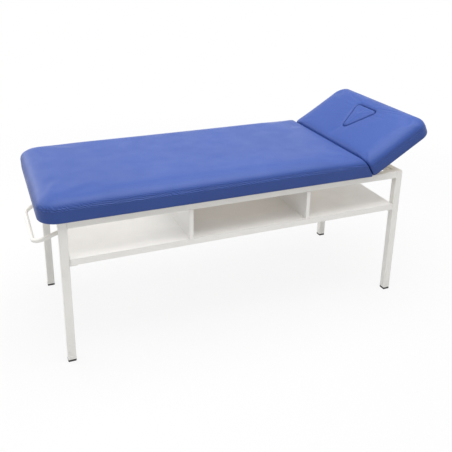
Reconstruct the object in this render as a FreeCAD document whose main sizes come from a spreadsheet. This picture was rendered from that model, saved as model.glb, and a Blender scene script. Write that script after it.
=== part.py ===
import FreeCAD, Part
import math
import os
import Sketcher

Vector = FreeCAD.Vector
doc = FreeCAD.newDocument("TreatmentTable")

# Driving dimensions in millimetres, angles in degrees, shares and counts plain.
SIZES = {
    # Frame of square tube. The origin is on the floor under the middle of the table.
    "frame_length": 1666,
    "frame_width": 692,
    "frame_height": 665,
    "frame_left": -847.5,
    "tube": 35,
    "tube_wall": 2,
    "tube_corner": 4,
    "small_tube": 25,
    "middle_bar_share": 0.47,
    # Black plastic foot caps under the legs.
    "cap_flange": 9.5,
    "cap_insert": 22,
    "cap_play": 0.2,
    # Laminate shelf hung under the top frame, with two upright dividers.
    "shelf_drop": 202,
    "shelf_thickness": 28,
    "shelf_end_gap": 3.5,
    "divider_thickness": 18,
    "foot_bay": 514,
    "middle_bay": 560,
    "angle_leg": 32,
    "angle_thickness": 3,
    # Upholstered tops on plywood bases.
    "pad_side_overhang": 28,
    "pad_height": 107,
    "pad_foot_overhang": 81,
    "pad_gap": 0.5,
    "pad_corner": 78,
    "pad_joint_corner": 12,
    "band_height": 60,
    "board_thickness": 18,
    "board_inset": 18,
    "board_corner": 60,
    "board_play": 0.3,
    # Tilting head section.
    "hinge_place": 1486,
    "head_angle": 31,
    "head_length": 376,
    "head_corner": 56,
    "rest_gap": 1,
    "hinge_drop": 8,
    "joint_gap": 3,
    # Triangular face hole and its plug.
    "hole_start": 92,
    "hole_length": 192,
    "hole_width": 186,
    "hole_corner": 21,
    "plug_gap": 1.5,
    "ledge": 14,
    "plug_proud": 1,
    # Butt hinges.
    "hinge_width": 80,
    "hinge_inset": 96,
    "knuckle_radius": 6,
    "pin_radius": 3,
    "pin_play": 0.05,
    "knuckle_gap": 0.5,
    "leaf_thickness": 3,
    "leaf_reach": 42,
    "leaf_start": 7,
    "bar_play": 0.5,
    "screw_radius": 2.5,
    "screw_head_radius": 5,
    "screw_head_height": 3,
    "screw_depth": 14,
    "screw_play": 0.2,
    "screw_edge": 14,
    # Telescopic ratchet strut under the head section.
    "strut_reach": 115,
    "strut_drop": 14,
    "strut_open_angle": 53,
    "strut_width": 20,
    "strut_wall": 2,
    "strut_length": 84,
    "bar_width": 15.6,
    "bar_clear": 12,
    "eye_radius": 9,
    "eye_slot": 2,
    "eye_play": 0.3,
    "strut_pin_radius": 4,
    "plate_thickness": 4,
    "plate_play": 0.5,
    "plate_margin": 12,
    "bracket_plate": 60,
    # Bent rod loop at the foot end.
    "rod_radius": 9,
    "loop_width": 348,
    "loop_reach": 138,
    "loop_bend": 46,
    "loop_slope": 19,
    "loop_drop": 30,
    "hanger_length": 58,
    "hanger_width": 30,
    "overrun": 5,
}

sheet = doc.addObject("Spreadsheet::Sheet", "Sizes")
for row, (alias, value) in enumerate(SIZES.items(), start=1):
    sheet.set(f"A{row}", alias)
    sheet.set(f"B{row}", str(value))
    sheet.setAlias(f"B{row}", alias)
doc.recompute()

# Places that several pieces share, worked out from the driving dimensions.
PLACES = {
    "frame_right": "frame_left + frame_length",
    "frame_front": "-frame_width / 2",
    "frame_back": "frame_width / 2",
    "rail_bottom": "frame_height - tube",
    "rail_length": "frame_length - 2 * tube",
    "cross_length": "frame_width - 2 * tube",
    "shelf_bottom": "frame_height - shelf_drop",
    "shelf_top": "shelf_bottom + shelf_thickness",
    "shelf_left": "frame_left + tube + shelf_end_gap",
    "shelf_length": "frame_length - 2 * tube - 2 * shelf_end_gap",
    "hinge_x": "frame_left + hinge_place",
    "hinge_z": "frame_height + rest_gap - hinge_drop",
    "hinge_bar_right": "hinge_place - knuckle_radius - bar_play",
    "hinge_spread": "cross_length - 2 * hinge_inset",
    "pad_width": "frame_width + 2 * pad_side_overhang",
    "pad_left": "frame_left - pad_foot_overhang",
    "pad_reach": "pad_foot_overhang + hinge_place",
    "pad_over_hinge": "hinge_drop + pad_gap - rest_gap",
    "strut_radius": "sqrt(strut_reach ^ 2 + strut_drop ^ 2)",
    "strut_dip": "atan(strut_drop / strut_reach) / 1 deg",
    "strut_low_angle": "strut_open_angle + strut_dip",
    "strut_x": "hinge_x + strut_radius * cos(strut_low_angle)",
    "strut_z": "hinge_z - strut_radius * sin(strut_low_angle)",
    "strut_half_angle": "(strut_open_angle + head_angle) / 2",
    "strut_lean": "90 + head_angle - strut_dip - strut_half_angle",
    "strut_span": "2 * strut_radius * sin(strut_half_angle)",
    "strut_flat_span": "2 * strut_radius * sin(strut_open_angle / 2)",
    "clevis_half": "strut_width / 2 + plate_play",
}
first_row = len(SIZES) + 2
for row, (alias, rule) in enumerate(PLACES.items(), start=first_row):
    sheet.set(f"A{row}", alias)
    sheet.set(f"B{row}", "=" + rule)
    sheet.setAlias(f"B{row}", alias)
doc.recompute()

NAMES = set(SIZES) | set(PLACES)


def formula(text):
    """An expression for the document: every word that names a cell points at the sheet."""
    words = []
    word = ""
    for letter in text + " ":
        if letter.isalnum() or letter == "_" or (letter == "." and word):
            word += letter
            continue
        words.append(f"Sizes.{word}" if word in NAMES else word)
        words.append(letter)
        word = ""
    return "".join(words).strip()


def number(text):
    """The present value of such an expression."""
    value = sheet.evalExpression(formula(text))
    return float(getattr(value, "Value", value))


def bind(piece, name, text):
    piece.setExpression(name, formula(text))


def place(piece, x="0", y="0", z="0", axis=None, angle="0"):
    """Puts a piece at a point, turned about an axis by a bound angle."""
    if axis:
        piece.Placement = FreeCAD.Placement(Vector(), FreeCAD.Rotation(Vector(*axis), number(angle)))
        bind(piece, "Placement.Rotation.Angle", angle)
    for letter, text in zip("xyz", (x, y, z)):
        bind(piece, f"Placement.Base.{letter}", text)
    return piece


def head_place(piece):
    """Puts a piece drawn flat, with the hinge axis as its Y axis, at the tilt of the head section."""
    return place(piece, "hinge_x", "0", "hinge_z", (0, -1, 0), "head_angle")


def strut_place(piece):
    """Puts a piece drawn along +X from the strut's lower pivot into the strut's line."""
    return place(piece, "strut_x", "0", "strut_z", (0, -1, 0), "strut_lean")


# Plain solids, each from a corner or an end at a point, with bound sizes.
def box(name, length, width, height, x="0", y="0", z="0"):
    piece = doc.addObject("Part::Box", name)
    bind(piece, "Length", length)
    bind(piece, "Width", width)
    bind(piece, "Height", height)
    return place(piece, x, y, z)


def cylinder(name, radius, height, x="0", y="0", z="0", axis=None, angle="0"):
    piece = doc.addObject("Part::Cylinder", name)
    bind(piece, "Radius", radius)
    bind(piece, "Height", height)
    return place(piece, x, y, z, axis, angle)


def cross_cylinder(name, radius, length, x, z, y="0"):
    """A cylinder along Y with its middle at y."""
    return cylinder(name, radius, length, x, f"{y} - ({length}) / 2", z, (-1, 0, 0), "90")


def fuse(name, pieces):
    piece = doc.addObject("Part::MultiFuse", name)
    piece.Shapes = pieces
    return piece


def cut(name, base, tools):
    piece = doc.addObject("Part::Cut", name)
    piece.Base = base
    piece.Tool = tools[0] if len(tools) == 1 else fuse(name + "_tools", tools)
    return piece


# Sketches in bodies.
def new_body(name):
    return doc.addObject("PartDesign::Body", name)


def new_sketch(body, name, plane, offset="0"):
    """A sketch on one of the body's own planes, raised along the plane's normal."""
    sketch = body.newObject("Sketcher::SketchObject", name)
    support = next(p for p in body.Origin.OriginFeatures if p.Role == plane)
    sketch.AttachmentSupport = [(support, "")]
    sketch.MapMode = "FlatFace"
    bind(sketch, "AttachmentOffset.Base.z", offset)
    return sketch


def dimension(sketch, kind, places, text):
    """A driving dimension of a sketch, bound to the sheet."""
    index = sketch.addConstraint(Sketcher.Constraint(kind, *places, number(text)))
    bind(sketch, f"Constraints[{index}]", text)


def rounded_rectangle(sketch, left, right, front, back, radii):
    """Four lines joined by four tangent arcs, in order from the front side round to the left."""
    x0, x1, y0, y1 = (number(text) for text in (left, right, front, back))
    r0, r1, r2, r3 = (number(text) for text in radii)
    quarter = math.pi / 2
    up = Vector(0, 0, 1)

    def line(xa, ya, xb, yb):
        return Part.LineSegment(Vector(xa, ya, 0), Vector(xb, yb, 0))

    def arc(x, y, radius, start):
        return Part.ArcOfCircle(Part.Circle(Vector(x, y, 0), up, radius), start, start + quarter)

    curves = [
        line(x0 + r0, y0, x1 - r1, y0),
        arc(x1 - r1, y0 + r1, r1, 3 * quarter),
        line(x1, y0 + r1, x1, y1 - r2),
        arc(x1 - r2, y1 - r2, r2, 0),
        line(x1 - r2, y1, x0 + r3, y1),
        arc(x0 + r3, y1 - r3, r3, quarter),
        line(x0, y1 - r3, x0, y0 + r0),
        arc(x0 + r0, y0 + r0, r0, 2 * quarter),
    ]
    at = sketch.addGeometry(curves, False)
    for here, there in zip(at, at[1:] + at[:1]):
        sketch.addConstraint(Sketcher.Constraint("Tangent", here, 2, there, 1))
    for side in (0, 4):
        sketch.addConstraint(Sketcher.Constraint("Horizontal", at[side]))
    for side in (2, 6):
        sketch.addConstraint(Sketcher.Constraint("Vertical", at[side]))
    dimension(sketch, "DistanceY", (-1, 1, at[0], 1), front)
    dimension(sketch, "DistanceX", (-1, 1, at[2], 1), right)
    dimension(sketch, "DistanceY", (-1, 1, at[4], 1), back)
    dimension(sketch, "DistanceX", (-1, 1, at[6], 1), left)
    for corner, text in zip((7, 1, 3, 5), radii):
        dimension(sketch, "Radius", (at[corner],), text)


def pad(body, name, sketch, length, reverse=False):
    feature = body.newObject("PartDesign::Pad", name)
    feature.Profile = sketch
    bind(feature, "Length", length)
    feature.Reversed = reverse
    sketch.Visibility = False
    return feature


def pocket(body, name, sketch, length, reverse=False):
    feature = body.newObject("PartDesign::Pocket", name)
    feature.Profile = sketch
    bind(feature, "Length", length)
    feature.Reversed = reverse
    return feature


nodes = []


def keep(piece, label):
    """Names a finished sub-part and lists it for the files."""
    piece.Label = label
    nodes.append(piece)
    return piece


# Square tube: a rounded section with its hollow, run along one axis from the body's origin.
PLANES = {"x": "YZ_Plane", "y": "XZ_Plane", "z": "XY_Plane"}


def square_tube(label, axis, length, side, x, y, z, closed_end="0"):
    body = new_body(label)
    outer = new_sketch(body, label + "_outside", PLANES[axis])
    rounded_rectangle(outer, "0", side, "0", side, ["tube_corner"] * 4)
    pad(body, label + "_run", outer, length, reverse=axis == "y")
    inner = new_sketch(body, label + "_inside", PLANES[axis])
    far = f"{side} - tube_wall"
    rounded_rectangle(inner, "tube_wall", far, "tube_wall", far, ["tube_corner - tube_wall"] * 4)
    doc.recompute()
    pocket(body, label + "_hollow", inner, f"{length} - {closed_end}", reverse=axis != "y")
    place(body, x, y, z)
    return keep(body, label)


# Legs stand on their caps and are closed at the top, where they show beside the cushion.
ENDS = {"foot": "frame_left", "head": "frame_right - tube"}
SIDES = {"front": "frame_front", "rear": "frame_back - tube"}
for end, x in ENDS.items():
    for side, y in SIDES.items():
        square_tube(
            f"leg_{end}_{side}", "z", "frame_height - cap_flange", "tube", x, y, "cap_flange", "tube_wall"
        )

# Top rails butt between the legs, flush with their tops.
for side, y in SIDES.items():
    square_tube(f"rail_{side}", "x", "rail_length", "tube", "frame_left + tube", y, "rail_bottom")
for end, x in ENDS.items():
    square_tube(f"rail_{end}", "y", "cross_length", "tube", x, "frame_front + tube", "rail_bottom")

# Cross bars: one under the middle of the main cushion, one that carries the hinges, one for the strut.
CROSS_BARS = {
    "crossbar_middle": ("tube", "frame_left + frame_length * middle_bar_share"),
    "crossbar_hinge": ("tube", "frame_left + hinge_bar_right - tube"),
    "crossbar_strut": ("small_tube", "hinge_x + small_tube"),
}
for label, (side, x) in CROSS_BARS.items():
    square_tube(label, "y", "cross_length", side, x, "frame_front + tube", "rail_bottom")

# Foot caps: a flange as wide as the tube and a stub inside it.
for end, x in ENDS.items():
    for side, y in SIDES.items():
        label = f"foot_cap_{end}_{side}"
        cap = new_body(label)
        flange = new_sketch(cap, label + "_rim", "XY_Plane")
        rounded_rectangle(flange, "0", "tube", "0", "tube", ["tube_corner"] * 4)
        pad(cap, label + "_flange", flange, "cap_flange")
        stub = new_sketch(cap, label + "_stub", "XY_Plane", "cap_flange")
        near = "tube_wall + cap_play"
        far = "tube - tube_wall - cap_play"
        rounded_rectangle(stub, near, far, near, far, ["tube_corner - tube_wall"] * 4)
        pad(cap, label + "_insert", stub, "cap_insert")
        place(cap, x, y, "0")
        keep(cap, label)

# Shelf between the legs, with dividers up to the top rails.
shelf_board = box(
    "shelf_board", "shelf_length", "frame_width", "shelf_thickness",
    "shelf_left", "frame_front", "shelf_bottom",
)
keep(shelf_board, "shelf_board")
DIVIDERS = {
    "divider_foot": "shelf_left + foot_bay",
    "divider_head": "shelf_left + foot_bay + divider_thickness + middle_bay",
}
for label, x in DIVIDERS.items():
    upright = box(
        label, "divider_thickness", "frame_width", "rail_bottom - shelf_top",
        x, "frame_front", "shelf_top",
    )
    keep(upright, label)

# Steel angles on the legs carry the ends of the shelf.
angles = []
for end in ENDS:
    for side, y in SIDES.items():
        name = f"angle_{end}_{side}"
        flange_x = "frame_left + tube"
        web_x = flange_x
        if end == "head":
            flange_x = "frame_right - tube - angle_leg"
            web_x = "frame_right - tube - angle_thickness"
        flat = box(
            name + "_flat", "angle_leg", "tube", "angle_thickness",
            flange_x, y, "shelf_bottom - angle_thickness",
        )
        web = box(
            name + "_web", "angle_thickness", "tube", "shelf_thickness",
            web_x, y, "shelf_bottom - angle_thickness",
        )
        angles.append(fuse(name, [flat, web]))
shelf_angles = doc.addObject("Part::Compound", "shelf_angles")
shelf_angles.Links = angles
keep(shelf_angles, "shelf_angles")

# Cushion form: outlines from the drawn-in bottom over the upright band to the crowned top.
# Each row: shares of the band height, of the crown height over it and of the pad corner drawn in.
CROWN_SHARES = [
    (0.0, 0.0, 0.07),
    (0.35, 0.0, 0.01),
    (0.7, 0.0, 0.0),
    (1.0, 0.0, 0.02),
    (1.0, 0.37, 0.05),
    (1.0, 0.71, 0.13),
    (1.0, 0.93, 0.26),
    (1.0, 1.0, 0.42),
]


def cushion(label, left, right, outer_corner, joint_corner, outer_side):
    """Loft of rounded outlines. left and right take the height and the drawn-in size as text."""
    body = new_body(label)
    outlines = []
    for step, (band_share, crown_share, draw_share) in enumerate(CROWN_SHARES):
        height = f"band_height * {band_share} + (pad_height - band_height) * {crown_share}"
        draw = f"pad_corner * {draw_share}"
        sketch = new_sketch(body, f"{label}_outline_{step}", "XY_Plane", height)
        radii = [outer_corner, joint_corner, joint_corner, outer_corner]
        if outer_side == "right":
            radii = [joint_corner, outer_corner, outer_corner, joint_corner]
        rounded_rectangle(
            sketch, left(height, draw), right(height, draw), draw, f"pad_width - {draw}", radii
        )
        outlines.append(sketch)
    loft = body.newObject("PartDesign::AdditiveLoft", label + "_form")
    loft.Profile = outlines[0]
    loft.Sections = outlines[1:]
    loft.Ruled = False
    doc.recompute()
    return body


def board_recess(body, label, left, right, radii):
    """Room under the cushion for its plywood base."""
    sketch = new_sketch(body, label + "_recess", "XY_Plane")
    near = "board_inset - board_play"
    far = "pad_width - board_inset + board_play"
    rounded_rectangle(sketch, left, right, near, far, radii)
    doc.recompute()
    return pocket(body, label + "_room", sketch, "board_thickness + board_play - pad_gap", reverse=True)


# Main cushion: its joint end leans back, so that the raised head section meets it face to face.
def main_left(height, draw):
    return draw


def main_right(height, draw):
    return f"pad_reach - ({height} + pad_over_hinge) * tan(head_angle)"


main_cushion = cushion("main_cushion", main_left, main_right, "pad_corner", "pad_joint_corner", "left")
MAIN_BOARD_END = "pad_reach - (board_thickness + pad_over_hinge) * tan(head_angle) - board_inset"
board_recess(
    main_cushion,
    "main_cushion",
    "board_inset - board_play",
    MAIN_BOARD_END + " + board_play",
    ["board_corner", "pad_joint_corner", "pad_joint_corner", "board_corner"],
)
place(main_cushion, "pad_left", "-pad_width / 2", "frame_height + pad_gap")
keep(main_cushion, "main_cushion")

main_board = new_body("main_board")
outline = new_sketch(main_board, "main_board_outline", "XY_Plane")
rounded_rectangle(
    outline,
    "board_inset",
    MAIN_BOARD_END,
    "board_inset",
    "pad_width - board_inset",
    ["board_corner", "pad_joint_corner", "pad_joint_corner", "board_corner"],
)
pad(main_board, "main_board_sheet", outline, "board_thickness")
place(main_board, "pad_left", "-pad_width / 2", "frame_height")
keep(main_board, "main_board")


# Head section, drawn flat with the hinge axis as its Y axis and then tilted.
def head_left(height, draw):
    return "joint_gap"


def head_right(height, draw):
    return f"head_length - {draw}"


def triangle(grow):
    """Face hole outline: a rounded triangle with its point towards the foot end, grown by an offset."""
    start = number("hole_start")
    half = number("hole_width") / 2
    length = number("hole_length")
    middle = number("pad_width") / 2
    radius = number("hole_corner")
    points = [
        Vector(start, middle, 0),
        Vector(start + length, middle - half, 0),
        Vector(start + length, middle + half, 0),
    ]
    side_slope = math.atan2(half, length)
    sine = math.sin(side_slope)
    cosine = math.cos(side_slope)
    tip_back = radius / sine
    base_turn = math.tan((math.pi / 2 - side_slope) / 2)
    centres = [
        points[0] + Vector(tip_back, 0, 0),
        points[1] + Vector(-radius, radius / base_turn, 0),
        points[2] + Vector(-radius, -radius / base_turn, 0),
    ]
    outer = radius + grow
    normals = [Vector(-sine, -cosine, 0), Vector(1, 0, 0), Vector(-sine, cosine, 0)]
    turns = [(normals[2], normals[0]), (normals[0], normals[1]), (normals[1], normals[2])]
    curves = []
    for index, centre in enumerate(centres):
        first, second = turns[index]
        halfway = first + second
        halfway.normalize()
        ring = [centre + direction * outer for direction in (first, halfway, second)]
        following = centres[(index + 1) % 3]
        curves.append(Part.Arc(*ring).toShape())
        curves.append(Part.LineSegment(ring[2], following + second * outer).toShape())
    return Part.Face(Part.Wire(curves))


def triangle_prism(name, grow, bottom, height):
    """A rounded triangular prism that follows the face hole, in the head section's flat frame."""
    prism = doc.addObject("Part::Feature", name)
    prism.Shape = triangle(number(grow)).extrude(Vector(0, 0, number(height)))
    corner = Vector(0, -number("pad_width / 2"), number(bottom))
    prism.Placement = FreeCAD.Placement(corner, FreeCAD.Rotation())
    return prism


head_form = cushion("head_form", head_left, head_right, "head_corner", "pad_joint_corner", "right")
HEAD_BOARD_END = "head_length - board_inset"
board_recess(
    head_form,
    "head_form",
    "joint_gap + board_inset - board_play",
    HEAD_BOARD_END + " + board_play",
    ["pad_joint_corner", "head_corner - board_inset", "head_corner - board_inset", "pad_joint_corner"],
)
place(head_form, "0", "-pad_width / 2", "hinge_drop + pad_gap")
face_hole = triangle_prism("face_hole", "0", "0", "pad_height + hinge_drop + overrun")
head_cushion = cut("head_cushion", head_form, [face_hole])
keep(head_place(head_cushion), "head_cushion")

head_sheet = new_body("head_sheet")
outline = new_sketch(head_sheet, "head_sheet_outline", "XY_Plane")
rounded_rectangle(
    outline,
    "joint_gap + board_inset",
    HEAD_BOARD_END,
    "board_inset",
    "pad_width - board_inset",
    ["pad_joint_corner", "head_corner - board_inset", "head_corner - board_inset", "pad_joint_corner"],
)
pad(head_sheet, "head_sheet_pad", outline, "board_thickness")
place(head_sheet, "0", "-pad_width / 2", "hinge_drop")
board_hole = triangle_prism("board_hole", "-ledge", "0", "hinge_drop + board_thickness + overrun")
head_board = cut("head_board", head_sheet, [board_hole])
keep(head_place(head_board), "head_board")

# Plug: a small plywood base on the ledge round the board's hole, with its own padded top.
PLUG_FOOT = "hinge_drop + board_thickness"
plug_base = triangle_prism("plug_base", "-plug_gap", PLUG_FOOT + " + board_play", "board_thickness / 2")
PLUG_TOP = "hinge_drop + pad_gap + pad_height + plug_proud"
plug_pad = triangle_prism(
    "plug_pad",
    "-plug_gap",
    PLUG_FOOT + " + board_play + board_thickness / 2",
    f"{PLUG_TOP} - ({PLUG_FOOT}) - board_play - board_thickness / 2",
)
for piece, label in ((plug_base, "plug_base"), (plug_pad, "plug_pad")):
    turn = FreeCAD.Placement(
        Vector(number("hinge_x"), 0, number("hinge_z")),
        FreeCAD.Rotation(Vector(0, -1, 0), number("head_angle")),
    )
    piece.Placement = turn.multiply(piece.Placement)
    keep(piece, label)

# Butt hinges: fixed leaves stand on the hinge bar, moving leaves lie under the head board.
KNUCKLE = "(hinge_width - 2 * knuckle_gap) / 3"
FREE_BORE = "pin_radius + pin_play"


def screw_rows(y):
    return [f"{y} - hinge_width / 2 + screw_edge", f"{y} + hinge_width / 2 - screw_edge"]


fixed_screws = []
moving_screws = []
for side, y in (("front", "-hinge_spread / 2"), ("rear", "hinge_spread / 2")):
    name = f"hinge_{side}"
    low = f"{y} - hinge_width / 2"
    high = f"{y} + hinge_width / 2 - {KNUCKLE}"
    plate_x = "-knuckle_radius - bar_play"
    bar_low = "rail_bottom - hinge_z"
    plate = box(
        name + "_plate", "leaf_thickness", "hinge_width", f"-leaf_start - ({bar_low})",
        plate_x, low, bar_low,
    )
    pieces = [plate]
    for index, start in enumerate((low, high)):
        web = box(
            f"{name}_web_{index}", "leaf_thickness", KNUCKLE, "leaf_start",
            plate_x, start, "-leaf_start",
        )
        knuckle_y = f"{start} + {KNUCKLE} / 2"
        knuckle = cross_cylinder(
            f"{name}_knuckle_{index}", "knuckle_radius", KNUCKLE, "0", "0", knuckle_y
        )
        pieces += [web, knuckle]
    tools = [cross_cylinder(name + "_bore", FREE_BORE, "hinge_width + overrun", "0", "0", y)]
    for index, row in enumerate(screw_rows(y)):
        height = f"({bar_low} - leaf_start) / 2"
        tools.append(
            cylinder(
                f"{name}_hole_{index}", "screw_radius + screw_play", "leaf_thickness + 2 * overrun",
                f"{plate_x} - overrun", row, height, (0, 1, 0), "90",
            )
        )
        head_x = f"{plate_x} + leaf_thickness"
        shank = cylinder(
            f"{name}_shank_{index}", "screw_radius", "screw_depth", f"{head_x} - screw_depth", row, height,
            (0, 1, 0), "90",
        )
        button = cylinder(
            f"{name}_button_{index}", "screw_head_radius", "screw_head_height", head_x, row, height,
            (0, 1, 0), "90",
        )
        fixed_screws.append(fuse(f"{name}_screw_{index}", [shank, button]))
    fixed = cut(name + "_fixed_leaf", fuse(name + "_fixed_body", pieces), tools)
    keep(place(fixed, "hinge_x", "0", "hinge_z"), name + "_fixed_leaf")

    middle = f"{y} - ({KNUCKLE}) / 2"
    leaf = box(
        name + "_leaf", "leaf_reach - leaf_start", "hinge_width", "leaf_thickness", "leaf_start", low,
        "hinge_drop - leaf_thickness",
    )
    web = box(
        name + "_arm", "leaf_start", KNUCKLE, "leaf_thickness",
        "0", middle, "hinge_drop - leaf_thickness",
    )
    post = box(
        name + "_post", "leaf_thickness", KNUCKLE, "hinge_drop - pin_radius - pin_play",
        "0", middle, FREE_BORE,
    )
    knuckle = cross_cylinder(name + "_middle_knuckle", "knuckle_radius", KNUCKLE, "0", "0", y)
    tools = [cross_cylinder(name + "_middle_bore", FREE_BORE, "hinge_width + overrun", "0", "0", y)]
    for index, row in enumerate(screw_rows(y)):
        across = "(leaf_reach + leaf_start + board_inset) / 2"
        tools.append(
            cylinder(
                f"{name}_moving_hole_{index}", "screw_radius + screw_play", "hinge_drop + overrun",
                across, row, "0",
            )
        )
        shank = cylinder(
            f"{name}_moving_shank_{index}", "screw_radius", "screw_depth", across, row,
            "hinge_drop - leaf_thickness",
        )
        button = cylinder(
            f"{name}_moving_button_{index}", "screw_head_radius", "screw_head_height", across, row,
            "hinge_drop - leaf_thickness - screw_head_height",
        )
        moving_screws.append(fuse(f"{name}_moving_screw_{index}", [shank, button]))
    moving = cut(name + "_moving_leaf", fuse(name + "_moving_body", [leaf, web, post, knuckle]), tools)
    keep(head_place(moving), name + "_moving_leaf")

    pin = cross_cylinder(name + "_pin", "pin_radius", "hinge_width", "hinge_x", "hinge_z", y)
    keep(pin, name + "_pin")

for label, pieces, putting in (
    ("hinge_bar_screws", fixed_screws, lambda piece: place(piece, "hinge_x", "0", "hinge_z")),
    ("hinge_board_screws", moving_screws, head_place),
):
    group = doc.addObject("Part::Compound", label)
    group.Links = pieces
    keep(putting(group), label)

# Strut: two cheeks under the strut bar hold the outer tube's pivot.
cheeks = []
for index, y in enumerate(("-clevis_half - plate_thickness", "clevis_half")):
    cheeks.append(
        box(
            f"cheek_{index}", "strut_x - hinge_x - small_tube + plate_margin", "plate_thickness",
            "rail_bottom - strut_z + plate_margin", "hinge_x + small_tube", y, "strut_z - plate_margin",
        )
    )
PIN_LENGTH = "2 * (clevis_half + plate_thickness)"
cheek_bore = cross_cylinder(
    "cheek_bore", "strut_pin_radius", f"{PIN_LENGTH} + overrun", "strut_x", "strut_z"
)
bridge = box(
    "cheek_bridge", "small_tube", "2 * clevis_half", "plate_thickness",
    "hinge_x + small_tube", "-clevis_half", "rail_bottom - plate_thickness",
)
base_bracket = cut("strut_base_bracket", fuse("strut_cheeks", cheeks + [bridge]), [cheek_bore])
keep(base_bracket, "strut_base_bracket")
base_pin = cross_cylinder("strut_base_pin", "strut_pin_radius", PIN_LENGTH, "strut_x", "strut_z")
keep(base_pin, "strut_base_pin")

# Outer tube, drawn along +X from its pivot.
TUBE_START = "-strut_width / 2"
tube_outer = box(
    "strut_tube_outer", "strut_length + strut_width / 2", "strut_width", "strut_width", TUBE_START,
    "-strut_width / 2", "-strut_width / 2",
)
BORE_WIDTH = "strut_width - 2 * strut_wall"
tube_bore = box(
    "strut_tube_bore", "strut_length + overrun", BORE_WIDTH, BORE_WIDTH,
    "strut_pin_radius + strut_wall", "-strut_width / 2 + strut_wall", "-strut_width / 2 + strut_wall",
)
tube_eye = cross_cylinder(
    "strut_tube_eye", "strut_pin_radius + pin_play", "strut_width + overrun", "0", "0"
)
keep(strut_place(cut("strut_tube", tube_outer, [tube_bore, tube_eye])), "strut_tube")

# Sliding bar, with a short slot at its top for the pin on the head board.
BAR_START = "strut_span - strut_flat_span + bar_clear"
bar_body = box(
    "strut_bar_body", f"strut_span - ({BAR_START})", "bar_width", "bar_width", BAR_START, "-bar_width / 2",
    "-bar_width / 2",
)
bar_end = cross_cylinder("strut_bar_end", "eye_radius", "bar_width", "strut_span", "0")
SLOT_RADIUS = "strut_pin_radius + eye_play"
SLOT_DEPTH = "bar_width + overrun"
slot = [
    cross_cylinder("slot_low", SLOT_RADIUS, SLOT_DEPTH, "strut_span - eye_slot", "0"),
    cross_cylinder("slot_high", SLOT_RADIUS, SLOT_DEPTH, "strut_span + eye_slot", "0"),
    box(
        "slot_middle", "2 * eye_slot", SLOT_DEPTH, f"2 * ({SLOT_RADIUS})", "strut_span - eye_slot",
        f"-({SLOT_DEPTH}) / 2", f"-({SLOT_RADIUS})",
    ),
]
strut_bar = cut("strut_bar", fuse("strut_bar_whole", [bar_body, bar_end]), slot)
keep(strut_place(strut_bar), "strut_bar")

# Bracket under the head board: a plate with two ears and the upper pin.
EAR = "bar_width / 2 + plate_play"
EAR_HEIGHT = "hinge_drop + strut_drop + plate_margin - leaf_thickness"
EAR_PIN_LENGTH = f"2 * ({EAR} + plate_thickness)"
ears = [
    box(
        "bracket_plate_top", "bracket_plate", "bracket_plate", "leaf_thickness",
        "strut_reach - bracket_plate / 2", "-bracket_plate / 2", "hinge_drop - leaf_thickness",
    )
]
for index, y in enumerate((f"-({EAR}) - plate_thickness", EAR)):
    ears.append(
        box(
            f"ear_{index}", "2 * plate_margin", "plate_thickness", EAR_HEIGHT,
            "strut_reach - plate_margin", y, "-strut_drop - plate_margin",
        )
    )
ear_bore = cross_cylinder(
    "ear_bore", "strut_pin_radius", f"{EAR_PIN_LENGTH} + overrun", "strut_reach", "-strut_drop"
)
head_bracket = cut("strut_head_bracket", fuse("strut_ears", ears), [ear_bore])
keep(head_place(head_bracket), "strut_head_bracket")
ear_pin = cross_cylinder(
    "strut_head_pin_part", "strut_pin_radius", EAR_PIN_LENGTH, "strut_reach", "-strut_drop"
)
head_pin = doc.addObject("Part::Compound", "strut_head_pin")
head_pin.Links = [ear_pin]
keep(head_place(head_pin), "strut_head_pin")

# Rod loop at the foot end: one arm lies along the front leg, the other hangs from the foot rail.
loop = new_body("roll_loop")
path = new_sketch(loop, "roll_loop_path", "XY_Plane")
reach = number("loop_reach")
width = number("loop_width")
bend = number("loop_bend")
quarter = math.pi / 2
up = Vector(0, 0, 1)
curves = [
    Part.LineSegment(Vector(0, 0, 0), Vector(reach - bend, 0, 0)),
    Part.ArcOfCircle(Part.Circle(Vector(reach - bend, bend, 0), up, bend), 3 * quarter, 4 * quarter),
    Part.LineSegment(Vector(reach, bend, 0), Vector(reach, width - bend, 0)),
    Part.ArcOfCircle(Part.Circle(Vector(reach - bend, width - bend, 0), up, bend), 0, quarter),
    Part.LineSegment(Vector(reach - bend, width, 0), Vector(0, width, 0)),
]
at = path.addGeometry(curves, False)
for here, there in zip(at, at[1:]):
    path.addConstraint(Sketcher.Constraint("Tangent", here, 2, there, 1))
path.addConstraint(Sketcher.Constraint("Coincident", at[0], 1, -1, 1))
path.addConstraint(Sketcher.Constraint("Horizontal", at[0]))
path.addConstraint(Sketcher.Constraint("Horizontal", at[4]))
path.addConstraint(Sketcher.Constraint("PointOnObject", at[4], 2, -2))
dimension(path, "Radius", (at[1],), "loop_bend")
dimension(path, "Radius", (at[3],), "loop_bend")
dimension(path, "DistanceX", (-1, 1, at[2], 1), "loop_reach")
dimension(path, "DistanceY", (-1, 1, at[4], 2), "loop_width")
ring = new_sketch(loop, "roll_loop_section", "YZ_Plane")
circle = ring.addGeometry(Part.Circle(Vector(0, 0, 0), up, number("rod_radius")), False)
ring.addConstraint(Sketcher.Constraint("Coincident", circle, 3, -1, 1))
dimension(ring, "Radius", (circle,), "rod_radius")
sweep = loop.newObject("PartDesign::AdditivePipe", "roll_loop_sweep")
sweep.Profile = ring
sweep.Spine = (path, [])
doc.recompute()
LOOP_Y = "frame_front + tube + rod_radius"
LOOP_X = "frame_left + tube"
LOOP_Z = "rail_bottom - loop_drop + tube * tan(loop_slope)"
place(loop, LOOP_X, LOOP_Y, LOOP_Z, (0, 1, 0), "180 - loop_slope")
keep(loop, "roll_loop")
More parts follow.
